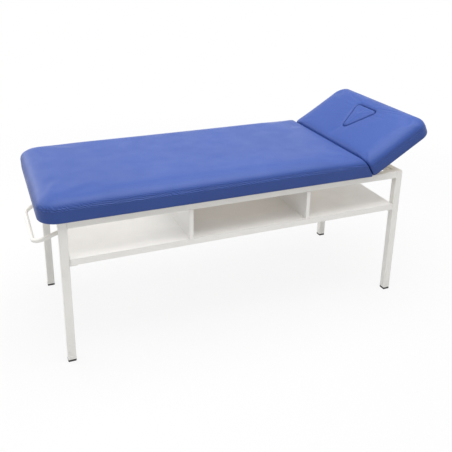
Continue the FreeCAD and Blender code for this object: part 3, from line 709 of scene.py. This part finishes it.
def make_pad(name, rings, notes, middle=None, gathered=True):
    """A closed cover from outlines, with a map of its lay along and across the seam, and its held points.

    With a middle step its first and last outlines are zipped shut, and without one they are joined.
    A cover that isn't gathered is laid a whole width away from the seam, out of the ripples' reach.
    """
    count = len(rings[0])
    points = [point for ring in rings for point in ring]
    rows = len(rings) if middle is None else len(rings) - 1
    faces = []
    for row in range(rows):
        lower = row * count
        upper = (row + 1) % len(rings) * count
        for step in range(count):
            following = (step + 1) % count
            faces.append((lower + step, lower + following, upper + following, upper + step))
    mesh = bpy.data.meshes.new(name)
    around = [0.0]
    seam = notes.index("seam") if "seam" in notes else 0
    for step in range(count):
        here = Vector(rings[seam][step])
        there = Vector(rings[seam][(step + 1) % count])
        around.append(around[-1] + (there - here).length)
    # The way across the seam is measured up one long side.
    across = [0.0]
    side = count // 3
    for row in range(1, len(rings)):
        across.append(across[-1] + (Vector(rings[row][side]) - Vector(rings[row - 1][side])).length)
    across = [value - across[seam] for value in across]
    if not gathered:
        across = [value + PAD_WIDTH for value in across]
    across.append(across[-1] + PAD_HEIGHT)
    lays = []
    for row in range(rows):
        for step in range(count):
            lays += [
                (around[step], across[row]),
                (around[step + 1], across[row]),
                (around[step + 1], across[row + 1]),
                (around[step], across[row + 1]),
            ]
    last = (len(rings) - 1) * count
    for face in [] if middle is None else zip_shut(count, middle):
        faces.append(tuple(reversed(face)))
        lays += [(around[step], across[0]) for step in reversed(face)]
        faces.append(tuple(last + step for step in face))
        lays += [(around[step], across[len(rings) - 1]) for step in face]
    mesh.from_pydata(points, [], faces)
    layer = mesh.uv_layers.new(name="lay")
    layer.data.foreach_set("uv", np.array(lays).ravel())
    mesh.polygons.foreach_set("use_smooth", [True] * len(mesh.polygons))
    pad = bpy.data.objects.new(name, mesh)
    bpy.context.collection.objects.link(pad)
    pad.vertex_groups.new(name="held")
    for row, note in enumerate(notes):
        if note in ("held", "seam"):
            pad.vertex_groups["held"].add(list(range(row * count, (row + 1) * count)), 1.0, "ADD")
    mesh.materials.append(vinyl)
    return pad


VINYL_MASS = 0.3
VINYL_STRETCH = 60
VINYL_SHEAR = 30
VINYL_BEND = 30
FOAM_PRESSURE = 4
SWELL_FRAMES = 20
SWELL_QUALITY = 5
NEAR_ZERO = 1e-9


def inflate(pad, most):
    """Lets the cover swell under pressure as cloth, held at its seam and board.

    No point moves further than most.
    """
    cloth = pad.modifiers.new("swell", "CLOTH")
    settings = cloth.settings
    settings.quality = SWELL_QUALITY
    settings.mass = VINYL_MASS
    settings.tension_stiffness = VINYL_STRETCH
    settings.compression_stiffness = VINYL_STRETCH
    settings.shear_stiffness = VINYL_SHEAR
    settings.bending_stiffness = VINYL_BEND
    settings.use_pressure = True
    settings.uniform_pressure_force = FOAM_PRESSURE
    settings.vertex_group_mass = "held"
    settings.effector_weights.gravity = 0
    cloth.point_cache.frame_start = 1
    cloth.point_cache.frame_end = SWELL_FRAMES
    scene = bpy.context.scene
    for step in range(1, SWELL_FRAMES + 1):
        scene.frame_set(step)
    swollen = pad.evaluated_get(bpy.context.evaluated_depsgraph_get()).data
    flat = np.empty(len(pad.data.vertices) * 3)
    full = np.empty_like(flat)
    pad.data.vertices.foreach_get("co", flat)
    swollen.vertices.foreach_get("co", full)
    pad.modifiers.remove(cloth)
    scene.frame_set(1)
    move = (full - flat).reshape(-1, 3)
    size = np.linalg.norm(move, axis=1, keepdims=True) + NEAR_ZERO
    move *= most * np.tanh(size / most) / size
    pad.data.vertices.foreach_set("co", flat + move.ravel())
    pad.data.update()


def stitch_line(pad, notes, around, place):
    """Points of a cover's stitch row, in their place."""
    first = notes.index("stitch") * around
    return [place @ pad.data.vertices[first + step].co for step in range(around)]


def round_off(pad, place):
    """Subdivides the cover once and puts it in its place."""
    finer = pad.modifiers.new("finer", "SUBSURF")
    finer.levels = 1
    finer.render_levels = 1
    made = bpy.data.meshes.new_from_object(pad.evaluated_get(bpy.context.evaluated_depsgraph_get()))
    pad.modifiers.remove(finer)
    pad.data = made
    made.transform(place)
    pad.vertex_groups.clear()


def main_joint(level):
    """The main cushion's joint face leans back with the raised head section."""
    return (level + PAD_OVER_HINGE) * math.tan(HEAD_RAISE)


MAIN_TOP_DRAW = 0.062
MAIN_SIDE_STEPS = 84
MAIN_CAP_STEPS = 14
MAIN_CAP_SHARE = 0.93
SPINE_START = 0.34
main_plan = Section(HINGE.x - main_low.x, MAIN_CORNER, MAIN_BAND, main_joint, MAIN_SIDE_STEPS)
main_rings, main_notes = main_plan.cover(MAIN_TOP_DRAW)
edge_ring = main_rings[-1]
spine_end = main_plan.length - PAD_WIDTH / 2
for step in range(1, MAIN_CAP_STEPS + 1):
    share = MAIN_CAP_SHARE * step / MAIN_CAP_STEPS
    ring = []
    for x, y, z in edge_ring:
        spine = min(max(x, SPINE_START), spine_end)
        new_x = x + (spine - x) * share
        new_y = y * (1 - share)
        ring.append((new_x, new_y, max(z, main_plan.crown(main_plan.inset(new_x, new_y)))))
    main_rings.append(ring)
    main_notes.append("free")
main_pad = make_pad("main_cushion_cover", main_rings, main_notes, main_plan.counts["joint"] // 2)
inflate(main_pad, SWELL)
main_place = Matrix.Translation((HINGE.x, 0, main_low.z)) @ Matrix.Rotation(math.pi, 4, "Z")
main_stitch_line = stitch_line(main_pad, main_notes, len(edge_ring), main_place)
round_off(main_pad, main_place)
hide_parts("main_cushion")
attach(main_pad, "frame")

# Top stitch of the main cushion: blue polyester thread, sewn in even stitches just over the seam, all
# round, through the top panel and the seam's lips under it.
STITCH_PITCH = 0.0062
STITCH_LENGTH = 0.0046
THREAD_WIDTH = 0.0009
THREAD_BLUE = (0.055, 0.095, 0.34)
THREAD_PALE = (0.085, 0.135, 0.42)
thread, tree, shader = new_finish("blue_thread", THREAD_BLUE, roughness=0.6)
vary(tree, shader, THREAD_BLUE, THREAD_PALE, patches=300.0, least_rough=0.5, most_rough=0.7)
stitch_tree, given, result = new_path_tree("stitch_row", ["Pitch", "Length", "Width"])
line = add(stitch_tree, "GeometryNodeMeshToCurve", {"Mesh": given.outputs["Paths"]})
steps = add(
    stitch_tree,
    "GeometryNodeCurveToPoints",
    {"Curve": line.outputs[0], "Length": given.outputs["Pitch"]},
    mode="LENGTH",
)
bead = add(stitch_tree, "GeometryNodeMeshUVSphere", {"Segments": 6, "Rings": 5, "Radius": 0.5})
shape = add(
    stitch_tree,
    "ShaderNodeCombineXYZ",
    {"X": given.outputs["Length"], "Y": given.outputs["Width"], "Z": given.outputs["Width"]},
)
turned = add(
    stitch_tree,
    "FunctionNodeAlignRotationToVector",
    {"Vector": steps.outputs["Tangent"]},
    axis="X",
)
stitches = add(
    stitch_tree,
    "GeometryNodeInstanceOnPoints",
    {
        "Points": steps.outputs[0],
        "Instance": bead.outputs[0],
        "Rotation": turned.outputs[0],
        "Scale": shape.outputs[0],
    },
)
close_path_tree(stitch_tree, given, result, stitches.outputs[0])


def sew(name, line):
    """A closed row of stitches along a line of points."""
    return along_paths(
        name,
        stitch_tree,
        [(line, True)],
        thread,
        Pitch=STITCH_PITCH,
        Length=STITCH_LENGTH,
        Width=THREAD_WIDTH,
    )


main_stitches = sew("main_cushion_stitches", main_stitch_line)
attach(main_stitches, "frame")

# Head cushion: made as the main one, with a lower seam and a broader roll, and with a triangular face
# hole lined with the same vinyl.
HEAD_LENGTH = 0.376
HEAD_CORNER = 0.056
HEAD_BAND = 0.044
HEAD_GAP = 0.003
HEAD_LIFT = 0.0085
HEAD_TOP_DRAW = 0.036
HOLE_START = 0.092
HOLE_LENGTH = 0.192
HOLE_HALF = 0.093
HOLE_CORNER = 0.021
HOLE_ROUND = 0.016
HOLE_ARC_STEPS = 16
LIP_STEPS = 6
LINING_SHARES = (0.25, 0.5, 0.75, 1.0)
HEAD_SIDE_STEPS = 30
HEAD_CAP_STEPS = 12


def rounded_triangle(grow, shares):
    """Face hole outline grown by an offset, at shares of its length from its point, anticlockwise."""
    slope = math.atan2(HOLE_HALF, HOLE_LENGTH)
    base_turn = math.tan((math.pi / 2 - slope) / 2)
    tip = (HOLE_START + HOLE_CORNER / math.sin(slope), 0.0)
    base_x = HOLE_START + HOLE_LENGTH - HOLE_CORNER
    base_y = HOLE_HALF - HOLE_CORNER / base_turn
    side_turn = 1.5 * math.pi - slope
    arcs = [
        (tip, math.pi, side_turn),
        ((base_x, -base_y), side_turn, 2 * math.pi),
        ((base_x, base_y), 0.0, 2 * math.pi - side_turn),
        (tip, 2 * math.pi - side_turn, math.pi),
    ]
    radius = HOLE_CORNER + grow
    line = []
    for (x, y), first, last in arcs:
        for turn in np.linspace(first, last, HOLE_ARC_STEPS):
            line.append((x + radius * math.cos(turn), y + radius * math.sin(turn)))
    line = np.array(line)
    length = np.concatenate([[0], np.cumsum(np.linalg.norm(np.diff(line, axis=0), axis=1))])
    wanted = np.asarray(shares) * length[-1]
    return np.stack([np.interp(wanted, length, line[:, k]) for k in (0, 1)], axis=1)


def head_joint(level):
    """The head cushion's joint face stands square to its board at every level."""
    return HEAD_GAP


head_plan = Section(HEAD_LENGTH, HEAD_CORNER, HEAD_BAND, head_joint, HEAD_SIDE_STEPS)
head_rings, head_notes = head_plan.cover(HEAD_TOP_DRAW)
edge_ring = head_rings[-1]
around = len(edge_ring)
# Each point of the outer outline is paired with one of the hole's: joint with tip, corner with corner.
counts = head_plan.counts
to_corner = counts["joint"] / 2 + counts["small"] + counts["side"] + counts["large"] / 2
over_end = counts["large"] + counts["end"]
tip_to_corner = math.hypot(HOLE_LENGTH, HOLE_HALF)
side_share = tip_to_corner / (2 * tip_to_corner + 2 * HOLE_HALF)
steps_round = (np.arange(around) - counts["joint"] / 2) % around
hole_shares = np.interp(
    steps_round,
    [0, to_corner, to_corner + over_end, around],
    [0, side_share, 1 - side_share, 1],
)
rim = rounded_triangle(HOLE_ROUND, hole_shares)
for step in range(1, HEAD_CAP_STEPS + 1):
    share = step / HEAD_CAP_STEPS
    ring = []
    for (x, y, z), (hole_x, hole_y) in zip(edge_ring, rim):
        new_x = x + (hole_x - x) * share
        new_y = y + (hole_y - y) * share
        ring.append((new_x, new_y, max(z, head_plan.crown(head_plan.inset(new_x, new_y)))))
    head_rings.append(ring)
    head_notes.append("free")
rim_levels = [point[2] for point in head_rings[-1]]
for turn in np.linspace(0, math.pi / 2, LIP_STEPS)[1:]:
    lip = rounded_triangle(HOLE_ROUND * (1 - math.sin(turn)), hole_shares)
    fall = HOLE_ROUND * (1 - math.cos(turn))
    head_rings.append([(x, y, level - fall) for (x, y), level in zip(lip, rim_levels)])
    head_notes.append("held")
lining = rounded_triangle(0.0, hole_shares)
for share in LINING_SHARES:
    levels = [level - HOLE_ROUND - (level - HOLE_ROUND - BOARD_ROOM) * share for level in rim_levels]
    head_rings.append([(x, y, level) for (x, y), level in zip(lining, levels)])
    head_notes.append("held")
head_pad = make_pad("head_cushion_cover", head_rings, head_notes, gathered=False)
inflate(head_pad, SWELL)
head_turn = Matrix.Rotation(-HEAD_RAISE, 4, "Y")
head_place = Matrix.Translation(HINGE) @ head_turn @ Matrix.Translation((0, 0, HEAD_LIFT))
head_stitch_line = stitch_line(head_pad, head_notes, around, head_place)
round_off(head_pad, head_place)
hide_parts("head_cushion")
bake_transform(head_pad)

# Top stitch of the head cushion: the same thread, sewn over its lower seam.
head_stitches = sew("head_cushion_stitches", head_stitch_line)
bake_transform(head_stitches)

# Plug of the face hole: a foam triangle on a plywood base, covered in the same vinyl, that drops in
# flush and rests on the ledge round the board's hole.
PLUG_GAP = 0.0015
PLUG_FOOT = 0.0275
PLUG_PROUD = 0.0015
PLUG_ROUND = 0.014
PLUG_STEPS = 120
PLUG_WALL_SHARES = (0.0, 0.3, 0.6, 0.9)
PLUG_CAP_STEPS = 8
PLUG_CAP_SHARE = 0.85
plug_shares = np.arange(PLUG_STEPS) / PLUG_STEPS
plug_wall = rounded_triangle(-PLUG_GAP, plug_shares)
plug_middle = plug_wall.mean(axis=0)
levels = [head_plan.crown(head_plan.inset(x, y)) + PLUG_PROUD for x, y in plug_wall]
plug_rings = []
plug_notes = []
for share in PLUG_WALL_SHARES:
    heights = [PLUG_FOOT + (level - PLUG_ROUND - PLUG_FOOT) * share for level in levels]
    plug_rings.append([(x, y, height) for (x, y), height in zip(plug_wall, heights)])
    plug_notes.append("held")
for turn in np.linspace(0, math.pi / 2, LIP_STEPS):
    lip = rounded_triangle(-PLUG_GAP - PLUG_ROUND * (1 - math.cos(turn)), plug_shares)
    fall = PLUG_ROUND * (1 - math.sin(turn))
    plug_rings.append([(x, y, level - fall) for (x, y), level in zip(lip, levels)])
    plug_notes.append("held" if turn == 0 else "free")
lip_ring = plug_rings[-1]
for step in range(1, PLUG_CAP_STEPS + 1):
    share = PLUG_CAP_SHARE * step / PLUG_CAP_STEPS
    ring = []
    for x, y, z in lip_ring:
        new_x = x + (plug_middle[0] - x) * share
        new_y = y + (plug_middle[1] - y) * share
        ring.append((new_x, new_y, head_plan.crown(head_plan.inset(new_x, new_y)) + PLUG_PROUD))
    plug_rings.append(ring)
    plug_notes.append("free")
plug_pad = make_pad("plug_cover", plug_rings, plug_notes, 0)
inflate(plug_pad, SWELL)
round_off(plug_pad, head_place)
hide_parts("plug_pad")
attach(plug_pad, "plug")

# Room: a wide pale floor that keeps the table's shadow, an even white surround, large soft lamps
# overhead and behind the foot end, and weak ones in the shelf that stand in for its bright white.
FLOOR_SIZE = 60
FLOOR_PALE = (0.60, 0.60, 0.60)
FLOOR_GLOW = 0.86
FLOOR_GAP = 0.0005
SHADOW_REACH = 1.6
WHITE_REACH = 3.4
ROOM_LEVEL = 0.70
floor_mesh = bpy.data.meshes.new("floor")
reach = FLOOR_SIZE / 2
corners = [(-reach, -reach), (reach, -reach), (reach, reach), (-reach, reach)]
floor_mesh.from_pydata([(x, y, -FLOOR_GAP) for x, y in corners], [], [(0, 1, 2, 3)])
floor = bpy.data.objects.new("floor", floor_mesh)
bpy.context.collection.objects.link(floor)


def seen_ray(tree):
    """1 where the eye looks, also by reflection or through glass, and 0 for light on the object."""
    ray = add(tree, "ShaderNodeLightPath")
    seen = ray.outputs["Is Camera Ray"]
    for way in ("Is Glossy Ray", "Is Transmission Ray"):
        seen = add(tree, "ShaderNodeMath", {0: seen, 1: ray.outputs[way]}, operation="MAXIMUM").outputs[0]
    return seen


pale, tree, shader = new_finish("pale_floor", FLOOR_PALE, roughness=0.9)
glow = add(tree, "ShaderNodeEmission", {"Color": (1, 1, 1, 1), "Strength": 1.0})
place = add(tree, "ShaderNodeTexCoord")
away = add(tree, "ShaderNodeVectorMath", {0: place.outputs["Object"]}, operation="LENGTH")
whiter = add(
    tree,
    "ShaderNodeMapRange",
    {
        "Value": away.outputs["Value"],
        "From Min": SHADOW_REACH,
        "From Max": WHITE_REACH,
        "To Min": FLOOR_GLOW,
    },
    interpolation_type="SMOOTHSTEP",
)
share = add(tree, "ShaderNodeMath", {0: seen_ray(tree), 1: whiter.outputs[0]}, operation="MULTIPLY")
both = add(tree, "ShaderNodeMixShader", {0: share.outputs[0], 1: shader.outputs[0], 2: glow.outputs[0]})
tree.links.new(both.outputs[0], tree.nodes["Material Output"].inputs["Surface"])
floor_mesh.materials.append(pale)

surround = bpy.data.worlds.new("surround")
surround.use_nodes = True
tree = surround.node_tree
lift = add(tree, "ShaderNodeMix", {0: seen_ray(tree), 2: ROOM_LEVEL, 3: 1.0})
tree.links.new(lift.outputs[0], tree.nodes["Background"].inputs["Strength"])
tree.nodes["Background"].inputs["Color"].default_value = (1, 1, 1, 1)
bpy.context.scene.world = surround


def soft_lamp(name, place, target, width, depth, power, tint=(1, 1, 1)):
    """A large even lamp that faces a point."""
    light = bpy.data.lights.new(name, "AREA")
    light.shape = "RECTANGLE"
    light.size = width
    light.size_y = depth
    light.energy = power
    light.color = tint
    lamp = bpy.data.objects.new(name, light)
    lamp.visible_camera = False
    bpy.context.collection.objects.link(lamp)
    lamp.location = place
    lamp.rotation_euler = (Vector(target) - Vector(place)).to_track_quat("-Z", "Y").to_euler()


soft_lamp(
    "overhead_lamp", place=(0.1, -0.3, 3.4), target=(0, 0, 0.7), width=3.6, depth=3.0, power=138
)
soft_lamp(
    "foot_lamp", place=(-2.8, 2.2, 2.2), target=(-0.8, 0, 0.7), width=3.0, depth=2.0, power=55
)
BAY_LAMP_DEPTH = 0.6
BAYS = {
    "foot": ("leg_foot_front", "divider_foot", 0.74, (0.87, 0.93, 1.0)),
    "middle": ("divider_foot", "divider_head", 0.27, (1, 1, 1)),
    "head": ("divider_head", "leg_head_front", 0.33, (1, 1, 1)),
}
bay_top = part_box("rail_front")[0].z
for bay, (before, after, power, tint) in BAYS.items():
    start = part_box(before)[1].x
    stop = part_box(after)[0].x
    middle = (start + stop) / 2
    above = (middle, 0, bay_top)
    below = (middle, 0, 0)
    soft_lamp(bay + "_bay_lamp", above, below, stop - start, BAY_LAMP_DEPTH, power, tint)

# Camera: stands where the photograph was taken from, measured from the near foot-end leg's outer
# corner. It looks at the long front side from the foot end's side, with its frame shifted down.
EYE_FROM_LEG = Vector((-0.2606, -2.3169, 1.7674))
AZIMUTH = math.radians(-22.873)
ELEVATION = math.radians(19.337)
ROLL = math.radians(1.093)
LENS_MM = 49.8
SENSOR_MM = 36
SHIFT_UP = -0.168
leg_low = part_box("leg_foot_front")[0]
back = Vector(
    (
        math.sin(AZIMUTH) * math.cos(ELEVATION),
        -math.cos(AZIMUTH) * math.cos(ELEVATION),
        math.sin(ELEVATION),
    )
)
right = (-back).cross(Vector((0, 0, 1))).normalized()
upright = right.cross(-back)
tilted_right = right * math.cos(ROLL) + upright * math.sin(ROLL)
tilted_up = upright * math.cos(ROLL) - right * math.sin(ROLL)
eye = bpy.data.objects.new("camera", bpy.data.cameras.new("camera"))
bpy.context.collection.objects.link(eye)
eye.rotation_euler = Matrix((tilted_right, tilted_up, back)).transposed().to_euler()
eye.location = Vector((leg_low.x, leg_low.y, 0)) + EYE_FROM_LEG
eye.data.lens = LENS_MM
eye.data.sensor_width = SENSOR_MM
eye.data.shift_y = SHIFT_UP
bpy.context.scene.camera = eye
bpy.context.scene.view_settings.view_transform = "Standard"
